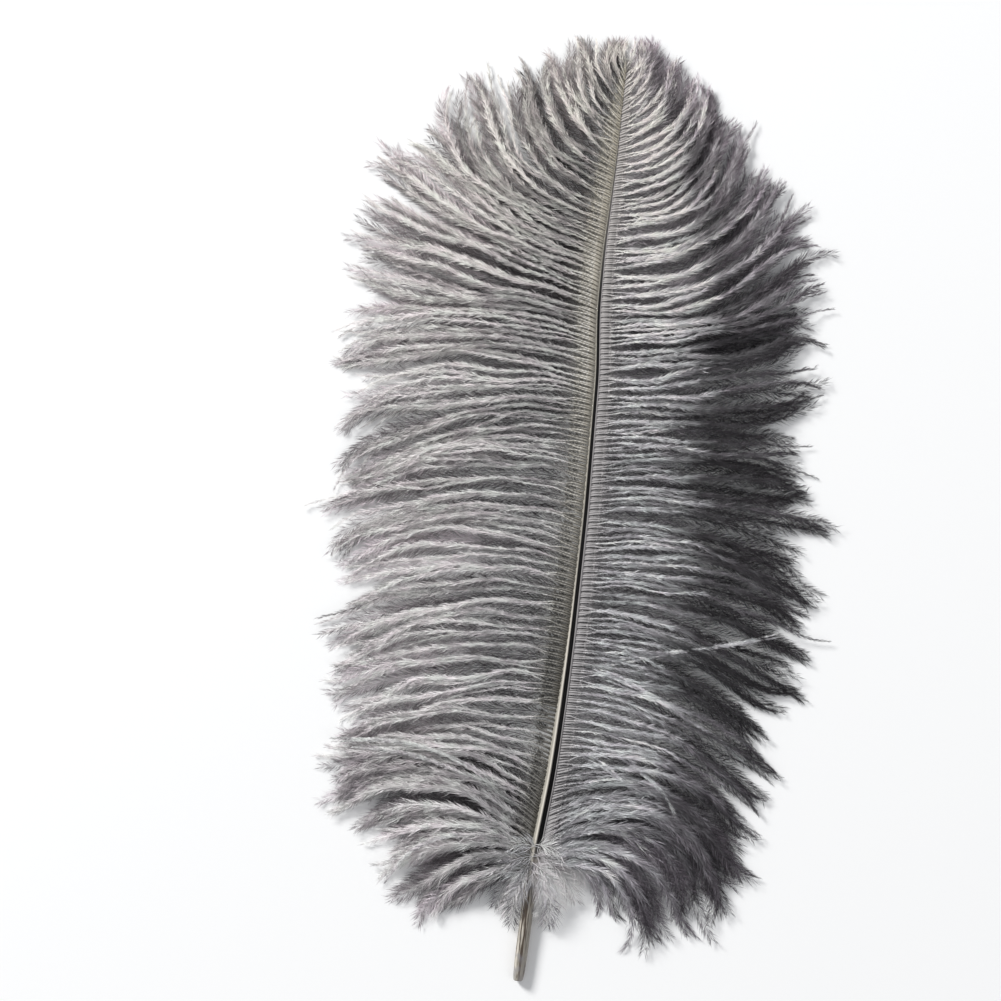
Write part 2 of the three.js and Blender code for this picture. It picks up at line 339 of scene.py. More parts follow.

# %% [markdown]
# ## The finish of the shaft
#
# The horn is tan and a little glossy, with streaks that run along it. The quill is darker,
# stained brown and grey by the dye, and pale again at its very end; its right flank is painted
# browner, and the rachis's right flank mauve-grey, as painted shade on the side away from the
# light. The groove is almost black, partly its dark pith and partly painted shade in the recess,
# and its lip is cream, partly pale horn and partly a painted highlight. Nodes make all of it, and
# a small class keeps adding them short. Horn grows from root to tip, so its streaks are noise
# stretched along the feather.

# %% Helpers for a finish
class Finish:
    """A node material, with short ways to add and link nodes."""

    def __init__(self, name):
        self.material = bpy.data.materials.new(name)
        self.material.use_nodes = True
        self.shader = self.material.node_tree.nodes["Principled BSDF"]

    def set(self, node, inputs):
        for key, value in inputs.items():
            if isinstance(value, bpy.types.NodeSocket):
                self.material.node_tree.links.new(value, node.inputs[key])
            else:
                node.inputs[key].default_value = value

    def add(self, kind, inputs, output=0, **settings):
        node = self.material.node_tree.nodes.new("ShaderNode" + kind)
        for key, value in settings.items():
            setattr(node, key, value)
        self.set(node, inputs)
        return node.outputs[output]

    def ramp(self, factor, stops):
        """A colour that runs through stops of (place, colour)."""
        colour = self.add("ValToRGB", {"Fac": factor})
        elements = colour.node.color_ramp.elements
        while len(elements) < len(stops):
            elements.new(0.5)
        for element, (place, stop) in zip(elements, stops):
            element.position = place
            element.color = (*stop, 1)
        return colour

    def mix(self, factor, first, second, blend="MIX"):
        """Two colours mixed by a factor."""
        first, second = ((*c, 1) if isinstance(c, tuple) else c for c in (first, second))
        inputs = {0: factor, 6: first, 7: second}
        return self.add("Mix", inputs, 2, data_type="RGBA", blend_type=blend)

    def blend(self, factor, first, second):
        """Two numbers mixed by a factor."""
        return self.add("Mix", {0: factor, 2: first, 3: second}, data_type="FLOAT")

    def math(self, operation, first, second=0.0):
        return self.add("Math", {0: first, 1: second}, operation=operation)

    def times(self, product, *factors):
        for factor in factors:
            product = self.math("MULTIPLY", product, factor)
        return product

    def curve(self, factor, stops, scale=1.0):
        """A number that runs through stops of (place, share), times a scale."""
        return self.times(self.ramp(factor, [(place, (share,) * 3) for place, share in stops]), scale)

    def span(self, value, low, high, new_low=0.0, new_high=1.0):
        """A number moved from the range low..high to the range new_low..new_high."""
        ends = {"From Min": low, "From Max": high, "To Min": new_low, "To Max": new_high}
        return self.add("MapRange", {"Value": value, **ends})

    def noise(self, place, scale, detail, **settings):
        return self.add("TexNoise", {"Vector": place, "Scale": scale, "Detail": detail}, **settings)


# %% Shaft finish
HORN_TAN = (0.34, 0.31, 0.26)
HORN_CREAM = (0.64, 0.595, 0.52)
HORN_BROWN = (0.07, 0.05, 0.035)
HORN_GREY = (0.20, 0.20, 0.225)
HORN_BEIGE = (0.33, 0.31, 0.265)
HORN_MAUVE = (0.33, 0.31, 0.31)
# The groove's colour: its dark pith with painted shade over it.
GROOVE_PITH_AND_SHADE = (0.004, 0.003, 0.003)
QUILL_STREAKS = [
    (0.42, HORN_CREAM), (0.52, HORN_TAN), (0.58, HORN_BROWN), (0.88, HORN_BROWN), (0.98, HORN_TAN),
]
QUILL_END = 55
QUILL_SHARES = [(0.0, 0.35), (0.06, 0.8), (0.2, 1.0), (0.72, 1.0), (0.95, 0.0)]
RACHIS_STREAKS, RACHIS_SCALE = [(0.3, 0.78), (0.7, 1.0)], 1.15
SMUDGES, SMUDGE_SCALE, SMUDGE = [(0.5, 0.0), (0.62, 1.0)], 160.0, 0.65
STRETCH = (1500, 60, 1500)
# How far the quill's right flank is pushed towards brown, as painted shade.
RIGHT_SIDE_SHADE = 0.5
HORN_ROUGHNESS = (0.35, 0.6)
GRAIN, GRAIN_HEIGHT = 0.25, 0.0002


def make_horn():
    horn = Finish("feather horn")
    place = horn.add("TexCoord", {}, "Object")
    streaks = horn.noise(horn.add("Mapping", {"Vector": place, "Scale": STRETCH}), 1.0, 4.0)
    blotches = horn.noise(place, SMUDGE_SCALE, 3.0)
    groove, lip, right = (
        horn.add("Attribute", {}, "Fac", attribute_name=name) for name in ("groove", "lip", "right")
    )
    streak_shade = horn.curve(streaks, RACHIS_STREAKS, RACHIS_SCALE)
    # Painted shade: the right flank turns mauve-grey on the rachis and browner on the quill.
    rachis = horn.mix(1.0, horn.mix(right, HORN_BEIGE, HORN_MAUVE), streak_shade, "MULTIPLY")
    quill = horn.ramp(horn.math("ADD", streaks, horn.times(right, RIGHT_SIDE_SHADE)), QUILL_STREAKS)
    quill = horn.mix(horn.curve(blotches, SMUDGES, SMUDGE), quill, HORN_GREY)
    along = horn.add("SeparateXYZ", {"Vector": place}, "Y")
    up_quill = horn.span(along, end_y, end_y + QUILL_END * MM)
    colour = horn.mix(horn.curve(up_quill, QUILL_SHARES), rachis, quill)
    # Painted shade: the groove goes near-black over its dark pith; the lip goes cream, partly pale horn and
    # partly a painted highlight.
    colour = horn.mix(groove, horn.mix(lip, colour, HORN_CREAM), GROOVE_PITH_AND_SHADE)
    roughness = horn.span(streaks, 0.0, 1.0, *HORN_ROUGHNESS)
    grain = horn.add("Bump", {"Height": streaks, "Strength": GRAIN, "Distance": GRAIN_HEIGHT})
    horn.set(horn.shader, {"Base Color": colour, "Roughness": roughness, "Normal": grain})
    return horn.material


shaft.data.materials.append(make_horn())
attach(shaft, "root")
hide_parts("shaft")
print("shaft finish:", shaft.data.materials[0].name)

# %% [markdown]
# ## How the barbs leave the shaft
#
# Each row is one place along the shaft: how long the barbs are there, and their headings at root
# and tip, in degrees away from the direction of the feather's tip. Near the tip they sweep
# forwards, in the middle they stand out and droop back, and at the base they curl down past the
# quill. Between two rows all three are mixed.

# %% Tables of the barbs: along, length, root heading, tip heading
LEFT_BARBS = np.array([
    (41, 44, 115, 142), (44, 60, 92, 135), (48, 76, 62, 122), (60, 80, 62, 115), (80, 83, 75, 112),
    (100, 86, 92, 122), (155, 96, 82, 116), (201, 99, 90, 122), (234, 97, 84, 96), (253, 93, 80, 66),
    (266, 85, 82, 24), (290, 58, 78, 8), (311, 34, 68, 2), (326, 17, 46, 0), (333, 8, 14, 0),
], float)
RIGHT_BARBS = np.array([
    (41, 78, 70, 172), (46, 88, 52, 160), (60, 84, 62, 140), (92, 82, 90, 127), (117, 86, 90, 124),
    (155, 87, 84, 108), (184, 84, 83, 96), (220, 82, 84, 70), (247, 82, 88, 30), (272, 68, 86, 10),
    (295, 48, 78, 2), (311, 32, 66, 0), (326, 17, 46, 0), (333, 8, 14, 0),
], float)
VANE_START = 41
VANE_END = 331
BARB_COUNT = 400
TIP_SHARE = 0.48
CROWDING, CROWDING_OVER = 0.8, 30


def read_barbs(table, along):
    """Length in millimetres and root and tip headings in radians at places along the shaft."""
    length, root, tip = (np.interp(along, table[:, 0], table[:, k]) for k in (1, 2, 3))
    return length, np.radians(root), np.radians(tip)


def spread_roots(table, side, count):
    """Places of the barbs' roots, closer together where their tips fan apart."""
    along = np.linspace(VANE_START, VANE_END, BARB_COUNT)
    length, root, tip = read_barbs(table, along)
    mean = (root + tip) / 2
    tips = np.stack([side * np.sin(mean) * length, along + np.cos(mean) * length], axis=-1)
    tip_steps = np.linalg.norm(np.diff(tips, axis=0), axis=1)
    steps = TIP_SHARE * tip_steps + (1 - TIP_SHARE) * np.diff(along)
    steps = steps * (1 + CROWDING * fade_out(along[1:], VANE_START, CROWDING_OVER))
    measure = np.concatenate([[0], np.cumsum(steps)])
    return np.interp((np.arange(count) + 0.5) / count * measure[-1], measure, along)


print("barbs per vane:", BARB_COUNT)

# %% [markdown]
# ## Barbs drift, cling and cross
#
# Nothing hooks the barbs together, but they cling. First all headings drift by a smooth field,
# like hair in water. Then up to five barbs are pulled into one strand, and a lock's tips are
# drawn to a point. A third of the barbs stay out of it: they lie lower, spread their hairs wide,
# and close the gaps. A few stray ones go their own way on top. All chances are seeded.

# %% Groups and drift
# Each wave of the drift: its length along the shaft, its length outwards, its size in degrees.
DRIFT_WAVES = ((5.3, 45.0, 3.2), (9.0, 38.0, 3.0), (15.0, 70.0, 4.5), (33.0, 120.0, 4.0))
LOCK_JUMP = 0.45


def group_sizes(rng, total, smallest, largest):
    """Group numbers for total things in a row, in groups of random size."""
    groups, number = [], 0
    while len(groups) < total:
        groups += [number] * int(rng.integers(smallest, largest + 1))
        number += 1
    return np.array(groups[:total])


def group_mean(values, groups, weights):
    """Each thing's weighted group mean, for values of shape (things, ...)."""
    count = groups.max() + 1
    weights = weights.reshape((-1,) + (1,) * (values.ndim - 1))
    sums = np.zeros((count,) + values.shape[1:])
    total = np.zeros((count,) + weights.shape[1:])
    np.add.at(sums, groups, values * weights)
    np.add.at(total, groups, weights)
    return (sums / np.maximum(total, 1e-6))[groups]


def per_group(rng, groups, spread):
    """One random number in -spread..spread for each group, handed to its members."""
    return rng.uniform(-spread, spread, groups.max() + 1)[groups]


def drift(rng, along, out, locks):
    """A smooth wandering of the headings in radians, with a small jump from lock to lock."""
    total = np.zeros_like(out)
    for wave_along, wave_out, degrees in DRIFT_WAVES:
        turn = rng.uniform(0, 2 * np.pi) + per_group(rng, locks, LOCK_JUMP)
        phase = 2 * np.pi * (along[:, None] / wave_along + out / wave_out) + turn[:, None]
        total += math.radians(degrees) * np.sin(phase)
    return total


print("drift at most:", sum(wave[2] for wave in DRIFT_WAVES), "degrees")

# %% [markdown]
# A barb leaves the flank of the shaft, leans towards the tip for the first few millimetres and
# then turns outwards. All barbs of a vane are worked out together, as arrays with a row for each
# barb. First come lengths and headings. Then each barb is walked along its headings, pulled
# towards the middle of its strand and its lock, and lifted over a crest.

# %% Lengths and headings of the barbs
# The rings of a barb as shares of its length, closer together near the root.
BARB_STEPS, ROOT_CLOSENESS = 20, 1.3
RINGS = (np.arange(BARB_STEPS + 1) / BARB_STEPS) ** ROOT_CLOSENESS
LOCK_LENGTHS, STRAND_LENGTHS = 0.05, 0.06
SHORT_SHARE, SHORT_LENGTHS, FULL_LENGTHS = 0.3, (0.6, 0.92), (0.92, 1.04)
BASE_OVER, BASE_LENGTHS = 7, (0.5, 1.0)
STRAY_DRIFT, LOW_DRIFT, DRIFT_FADE = 1.2, 0.3, (6, 25)
BARB_SWAY = math.radians(4)
WAVE_LENGTHS, WAVE_FADE = (14, 34), (3, 5)
LOW_LEAN, LEAN_FADE = 0.5, 6.0
TIP_HOOK, HOOK_FADE = math.radians(55), (0.82, 0.18)


def vary_lengths(rng, length, along, locks, strands):
    """Lengths that differ a little by lock and strand, with some barbs worn short."""
    count = len(length)
    length = length * (1 + per_group(rng, locks, LOCK_LENGTHS) + per_group(rng, strands, STRAND_LENGTHS))
    short = rng.random(count) < SHORT_SHARE
    length = length * np.where(short, rng.uniform(*SHORT_LENGTHS, count), rng.uniform(*FULL_LENGTHS, count))
    return length * np.where(along < VANE_START + BASE_OVER, rng.uniform(*BASE_LENGTHS, count), 1.0)


def turn_barbs(rng, along, out, ends, locks, strands, under, stray, comb_turn, wave):
    """Headings in radians at every ring, from the root and tip headings in ends."""
    root, tip = ends
    q = RINGS
    loose = np.where(stray, STRAY_DRIFT, np.where(under, LOW_DRIFT, 1.0))[:, None]
    heading = root[:, None] + (tip - root)[:, None] * ease(q)
    heading = heading + loose * drift(rng, along, out, locks) * fade_in(out, *DRIFT_FADE)
    heading = heading + rng.normal(0, BARB_SWAY, len(along))[:, None] * q
    shares = rng.uniform(0, 1, (3, strands.max() + 1))[:, strands, None]
    stretch = WAVE_LENGTHS[0] + (WAVE_LENGTHS[1] - WAVE_LENGTHS[0]) * shares[0]
    waves = wave * (0.4 + 0.6 * shares[1]) * np.sin(2 * np.pi * (out / stretch + shares[2]))
    heading = heading + loose * waves * fade_in(out, *WAVE_FADE)
    lean = comb_turn * np.where(under, LOW_LEAN, 1.0)
    heading = heading - lean[:, None] * np.exp(-out / LEAN_FADE)
    return heading + per_group(rng, strands, TIP_HOOK)[:, None] * fade_in(q, *HOOK_FADE)


print("rings of a barb:", len(RINGS))

# %% Lines of the barbs
LOCK_SIZES, STRAND_SIZES = (5, 13), (1, 5)
LOW_EVERY = 3
STRAY_SHARE = 0.05
LOW_INSET = 0.25
HIGH_INSET = [(90, 0.1), (150, 0.45)]
CLING_FROM, CLING_SPREAD, CLING_OVER = 0.65, 0.35, 5.0
CLING_STRENGTHS = (0.55, 0.95)
TIP_OPENING, OPENING_FADE = 0.3, (0.85, 0.15)
LOCK_PULL, LOCK_PULL_FADE = 0.10, (0.2, 0.4)
LOCK_POINT, LOCK_POINT_FADE = 0.46, (0.6, 0.4)
SMOOTH_EDGE, EDGE_FADE = 0.7, (200, 50)
DOWN_FROM, DOWN_OVER, DOWN_LOSS = 95, 50, 0.85
CREST_RISE, CREST_LENGTH, CREST_SHARES = 6.5, 70, (0.15, 1.1)
CREST_END, CREST_POWER = 0.92, 1.15
LOCK_CRESTS, LOW_CREST = 0.2, 0.45
STRAND_LIFT, STRAY_LIFT, BARB_LIFT = 1.1, 1.3, 0.25
LOW_ROOT, HIGH_ROOT = 0.20, 0.30
TIP_HEIGHTS, DESCENT_END = (0.6, 2.6), 0.9
LOWEST_STEM = 0.45


def down_at(along):
    """How downy the barbs are: 1 where the vanes begin, 0 from DOWN_FROM on."""
    return ease((DOWN_FROM - along) / DOWN_OVER)


def lay_lines(along, out, heading, side, under):
    """Places (across, along) at every ring, walked along the headings."""
    steps = np.diff(out, axis=1)
    middle = (heading[:, 1:] + heading[:, :-1]) / 2
    inset = np.where(under, LOW_INSET, read_pairs(HIGH_INSET, along))
    flank = bow_at(along) + side * (width_at(along) / 2 - inset)
    walked_out, walked_on = (
        np.cumsum(np.pad(part(middle) * steps, ((0, 0), (1, 0))), axis=1) for part in (np.sin, np.cos)
    )
    return np.stack([flank[:, None] + side * walked_out, along[:, None] + walked_on], axis=-1)


def gather_barbs(rng, line, along, out, comb, locks, strands, bound, stray):
    """Pulls the lines of strands and locks together past the comb."""
    q = RINGS
    cling_from = comb[:, None] * (CLING_FROM + per_group(rng, strands, CLING_SPREAD))[:, None]
    to_strand = fade_in(out, cling_from, CLING_OVER) * (1 - TIP_OPENING * fade_in(q, *OPENING_FADE))
    to_strand = (bound * rng.uniform(*CLING_STRENGTHS, len(along)))[:, None] * to_strand
    line = line + to_strand[..., None] * (group_mean(line, strands, bound) - line)
    point = LOCK_POINT * (1 - SMOOTH_EDGE * fade_in(along, *EDGE_FADE))
    point = point * (1 - DOWN_LOSS * down_at(along))
    to_lock = LOCK_PULL * fade_in(q, *LOCK_PULL_FADE) + point[:, None] * fade_in(q, *LOCK_POINT_FADE)
    to_lock = np.where(stray, 0.0, 1.0)[:, None] * to_lock
    return line + to_lock[..., None] * (group_mean(line, locks, np.ones(len(along))) - line)


def lift_barbs(rng, along, length, locks, strands, under, stray):
    """Heights of the barbs: from the shaft over a crest and down to the table."""
    q = RINGS
    crest = CREST_RISE * np.clip(length / CREST_LENGTH, *CREST_SHARES)
    crest = crest * (1 + per_group(rng, locks, LOCK_CRESTS)) * np.where(under, LOW_CREST, 1.0)
    lift = crest[:, None] * np.sin(np.pi * np.clip(q / CREST_END, 0, 1)) ** CREST_POWER
    arch = np.sin(np.pi * q)
    strand_lift = per_group(rng, strands, STRAND_LIFT) + np.where(stray, STRAY_LIFT, 0.0)
    lift = lift + np.where(under, 0.0, strand_lift)[:, None] * arch
    lift = lift + rng.normal(0, BARB_LIFT, len(along))[:, None] * arch
    tip = rng.uniform(*TIP_HEIGHTS, len(along))
    root = rise_at(along) + np.where(under, LOW_ROOT, HIGH_ROOT) * width_at(along)
    up = root[:, None] + (tip - root)[:, None] * ease(q / DESCENT_END) + lift
    return np.maximum(up, LOWEST_STEM)


def trace_barbs(table, side, rng, comb_turn, combs, wave):
    """The barbs of a vane: lines (barb, ring, across-along-up), lengths and masks."""
    along = spread_roots(table, side, BARB_COUNT)
    count = len(along)
    locks = group_sizes(rng, count, *LOCK_SIZES)
    strands = group_sizes(rng, count, *STRAND_SIZES)
    under = np.arange(count) % LOW_EVERY == 1
    stray = ~under & (rng.random(count) < STRAY_SHARE)
    bound = (~under & ~stray).astype(float)
    length, *ends = read_barbs(table, along)
    length = vary_lengths(rng, length, along, locks, strands)
    out = RINGS[None, :] * length[:, None]
    heading = turn_barbs(rng, along, out, ends, locks, strands, under, stray, comb_turn, wave)
    line = lay_lines(along, out, heading, side, under)
    comb = read_pairs(combs, along)
    line = gather_barbs(rng, line, along, out, comb, locks, strands, bound, stray)
    up = lift_barbs(rng, along, length, locks, strands, under, stray)
    lines = np.concatenate([line, up[..., None]], axis=-1)
    return dict(lines=lines, length=length, under=under, stray=stray)


print("low barbs: one in", LOW_EVERY)

# %% [markdown]
# A few long barbs have come out of their locks and lie across the others. Each is a short list
# of points (along, across), rounded off, and is built as two barbs that part a little, because
# one alone looks like a thread. Where the vanes begin, tufts of soft downy barbs of both sides
# cross over the shaft and curl down past the quill.

# %% Loose barbs
LOOSE_LEFT = [
    [(46, -2), (61, -12), (71, -25), (77, -45), (77, -72)],
    [(50, -2), (66, -13), (77, -30), (82, -52), (78, -80)],
    [(43, -2), (50, -14), (52, -30), (44, -44), (30, -52)],
]
LOOSE_RIGHT = [
    [(116, 2), (115, 10), (113, 19), (109, 31), (105, 40), (100, 46), (92, 51)],
    [(112, 2), (112, 18), (106, 36), (98, 52), (88, 68)],
    [(90, 2), (91, 11), (88, 20), (79, 35), (72, 44), (61, 49), (50, 51)],
    [(83, 2), (84, 9), (82, 18), (74, 30), (64, 42)],
    [(112, 2), (118, 16), (124, 32), (127, 46), (130, 62), (134, 73)],
    [(51, 4), (56, 13), (59, 21), (56, 36)],
]
LOOSE_START, LOOSE_RISE, LOOSE_TIP = -0.6, 7.5, 2.5
ARCH_END, ARCH_POWER = 1.06, 1.3
LOOSE_ROUNDING = 4
LOOSE_FANS = (-0.4, 0.4)
FAN_SIZE, FAN_WAVES = 1.6, 2.2
TUFT_LEFT = [
    [(44, -1.6), (41, 4), (36, 9), (28, 12)],
    [(47, -1.6), (45, 5), (40, 12), (31, 17)],
    [(42, -1.6), (38, 2.5), (31, 5), (22, 5)],
    [(50, -1.6), (50, 5), (46, 13), (38, 20)],
    [(43, -1.6), (37, -4), (30, -7), (23, -7)],
]
TUFT_RIGHT = [
    [(43, 1.6), (41, -4), (35, -9), (26, -12)],
    [(46, 1.6), (45, -5), (41, -12), (33, -18)],
    [(41, 1.6), (36, -2.5), (29, -5), (20, -5)],
    [(49, 1.6), (50, -5), (47, -13), (40, -21)],
    [(42, 1.6), (36, 5), (29, 8), (21, 8)],
]


def trace_loose(points, start, rise, fan=0.0):
    """A loose barb's line as (ring, across-along-up) and its length, from start over the shaft."""
    points = np.array(points, float)
    chords = np.concatenate([[0], np.cumsum(np.linalg.norm(np.diff(points, axis=0), axis=1))])
    q = RINGS
    along, across = (np.interp(q * chords[-1], chords, points[:, k]) for k in (0, 1))
    for _ in range(LOOSE_ROUNDING):
        for line in (along, across):
            line[1:-1] = (line[:-2] + 2 * line[1:-1] + line[2:]) / 4
    parting = fan * (1 + FAN_SIZE * np.sin(FAN_WAVES * np.pi * q + 2 * fan))
    along = along + parting * ease(3 * q)
    start = rise_at(points[0, 0]) + start
    arch = np.sin(np.pi * q / ARCH_END) ** ARCH_POWER
    up = start + (LOOSE_TIP - start) * ease(q / DESCENT_END) + rise * arch
    return np.stack([across + bow_at(along), along, up], axis=-1), chords[-1]


print("loose barbs:", len(LOOSE_LEFT) + len(LOOSE_RIGHT), "tufts:", len(TUFT_LEFT) + len(TUFT_RIGHT))

# %% [markdown]
# ## The map of the barbs
#
# Every barb owns one strip of the UV map. Across the map runs the way out along the barb, with
# the bare comb of roots in its first quarter. Within a strip the middle is the stem and both
# edges are the ends of its hairs. The strips of the loose barbs come first and those of the low
# barbs last, so a finish can tell them by their place.

# %% Places on the map
COMB_ON_MAP = 0.25


def place_on_map(out, length, comb):
    """How far across the map a place at out millimetres along a barb lies."""
    near = COMB_ON_MAP * np.clip(out / comb, 0, 1)
    far = (1 - COMB_ON_MAP) * np.clip((out - comb) / np.maximum(length - comb, 1), 0, 1)
    return near + far


print("the comb's share of the map:", COMB_ON_MAP)

# %% [markdown]
# ## Stems and barbules
#
# A barb is a thin tapering stem with hairs down both sides. At its root it widens into a small
# blade, and the blades look like one smooth band beside the shaft. The stem is a tube of three
# sides, because nobody sees the roundness of something so thin.

# %% Stems
BLADE_RADIUS = 0.50
BLADE_FLATNESS = 0.65
BLADE_FADE = 1.0
COMB_RADIUS = 0.38
COMB_FROM, COMB_OVER = 0.75, 0.4
BARE_COMB = 2
STEM_RADIUS = 0.17
TIP_RADIUS = 0.05
LOOSE_RADIUS, LOOSE_SWELL, LOOSE_TAPER = 0.21, (0.35, 0.35), (0.8, 0.2)
STEM_ON_STRIP = [0.5, 0.47, 0.53]


def unit(vectors):
    return vectors / np.maximum(np.linalg.norm(vectors, axis=-1, keepdims=True), 1e-9)


def stack_triangles(corners):
    """One array of triangles from groups of three arrays of corners."""
    return np.concatenate([np.stack(group, axis=1) for group in corners])


def stem_sizes(barbs, q, out, blade_end):
    """Half width and half height of the stems at every ring."""
    comb = barbs["comb"][:, None]
    radius = STEM_RADIUS + (TIP_RADIUS - STEM_RADIUS) * q[None, :]
    swell = fade_in(q, *LOOSE_SWELL) * fade_out(q, *LOOSE_TAPER)
    radius = radius + barbs["loose"][:, None] * (LOOSE_RADIUS - STEM_RADIUS) * swell
    bare = np.clip(comb / BARE_COMB, 0, 1)
    blade = bare * fade_out(out, comb * blade_end / COMB_ON_MAP, BLADE_FADE)
    in_comb = fade_out(out, COMB_FROM * comb, COMB_OVER * comb)
    radius = radius + (COMB_RADIUS - radius) * bare * in_comb
    radius = radius + (BLADE_RADIUS - radius) * blade
    return radius, radius * (1 - BLADE_FLATNESS * blade)


def make_stems(barbs, strips, blade_end):
    """Three-sided tapering tubes along the lines: vertices, triangles and UVs."""
    lines, length = barbs["lines"], barbs["length"][:, None]
    count, rings, _ = lines.shape
    q = RINGS
    out = q[None, :] * length
    direction = unit(np.gradient(lines, axis=1))
    sideways = unit(np.cross(direction, (0, 0, 1)))
    upward = np.cross(sideways, direction)
    width, height = stem_sizes(barbs, q, out, blade_end)
    edges = []
    for k in range(3):
        angle = math.pi / 2 + k * 2 * math.pi / 3
        offset = sideways * (math.cos(angle) * width)[..., None]
        edges.append(lines + (offset + upward * (math.sin(angle) * height)[..., None]))
    vertices = np.stack(edges, axis=2).reshape(-1, 3)
    v = (strips[:, None, None] + np.array(STEM_ON_STRIP)[None, None, :]) / count
    v = np.broadcast_to(v, (count, rings, 3))
    u = np.broadcast_to(place_on_map(out, length, barbs["comb"][:, None])[..., None], v.shape)
    uvs = np.stack([u, v], axis=-1).reshape(-1, 2)
    ring = (np.arange(count)[:, None] * rings + np.arange(rings - 1)[None, :]).reshape(-1) * 3
    corners = []
    for k in range(3):
        a, b = ring + k, ring + (k + 1) % 3
        corners += [(a, b + 3, b), (a, a + 3, b + 3)]
    first = np.arange(count) * rings * 3
    last = first + (rings - 1) * 3
    corners += [(first, first + 1, first + 2), (last, last + 2, last + 1)]
    return vertices, stack_triangles(corners), uvs


print("stem radii, millimetres:", STEM_RADIUS, "to", TIP_RADIUS)

# %% [markdown]
# Each hair is a slim kite, bent at its widest place: two triangles are enough for something a
# tenth of a millimetre wide. Hair particles could make them too, but here their number and size
# are known exactly. The hairs of a strand cling to it, and those of the low barbs stand out wide.

# %% Hairs
TRIANGLES = 160000
STRAND_HAIR = dict(length=2.7, grow=1.6, spread=12, open=11, roll=55)
LOW_HAIR = dict(length=5.4, grow=0.8, spread=36, open=6, roll=20)
DOWN_HAIR = dict(weight=0.4, spread=4, length=1.0)
COMB_HAIR = dict(length=1.0, spread=52, roll=0.6, width=0.5, fade=(-1.0, 1.5))
LOOSE_WEIGHT = 3.0
HAIRS_FROM = 1.6
TIP_THINNING = 0.85
TIP_FADE, TIP_CLOSING, TIP_LOSS = (0.75, 0.25), 0.25, 0.45
NEAR_COMB, NEAR_LOSS = (0.0, 6.0), 0.5
OPEN_FADE, GROWN_AT = (0.35, 0.5), 0.6
SPREAD_NOISE, HAIR_TILT = 12, 4
HAIR_BEND, HAIR_DROOP = (0.35, 0.4), (0.08, 0.2)
HAIR_SIZES = (0.65, 1.2)
HAIR_FACING, FACING_NOISE = (0, 0, 1.2), 0.45
HAIR_WIDTH, HAIR_WIDTHS = 0.15, (0.7, 1.3)
LOWEST_HAIR, LOWEST_SPREAD = 0.25, (0.4, 1.6)
KITE_OUT = [0.0, 0.002, -0.002, 0.001]
KITE_ON_STRIP = [0.0, 0.24, 0.20, 0.46]


def sample_lines(lines, barb, q):
    """Places and directions at shares q along the barbs with the given numbers."""
    at = np.clip(q, 0, 0.9999) ** (1 / ROOT_CLOSENESS) * BARB_STEPS
    step = at.astype(int)
    part = (at - step)[:, None]
    a, b = lines[barb, step], lines[barb, step + 1]
    before, after = lines[barb, np.maximum(step - 1, 0)], lines[barb, np.minimum(step + 2, BARB_STEPS)]
    direction = (b - a) + 0.5 * ((b - before) * (1 - part) + (after - a) * part)
    return a + (b - a) * part, unit(direction)


def place_hairs(barbs, count, blade_end, rng):
    """The barb that each hair grows on, and where on it: fewer near the tip."""
    length = barbs["length"]
    weight = length * (1 + DOWN_HAIR["weight"] * barbs["down"] + LOOSE_WEIGHT * barbs["loose"])
    ends = np.cumsum(weight)
    pick = (np.arange(count) + rng.random(count)) / count * ends[-1]
    barb = np.minimum(np.searchsorted(ends, pick), len(ends) - 1)
    q = 1 - ((ends[barb] - pick) / weight[barb]) ** TIP_THINNING
    bare = np.maximum(HAIRS_FROM, barbs["comb"] * blade_end / COMB_ON_MAP)[barb] / length[barb]
    return barb, np.maximum(q, 0) * (1 - bare) + bare


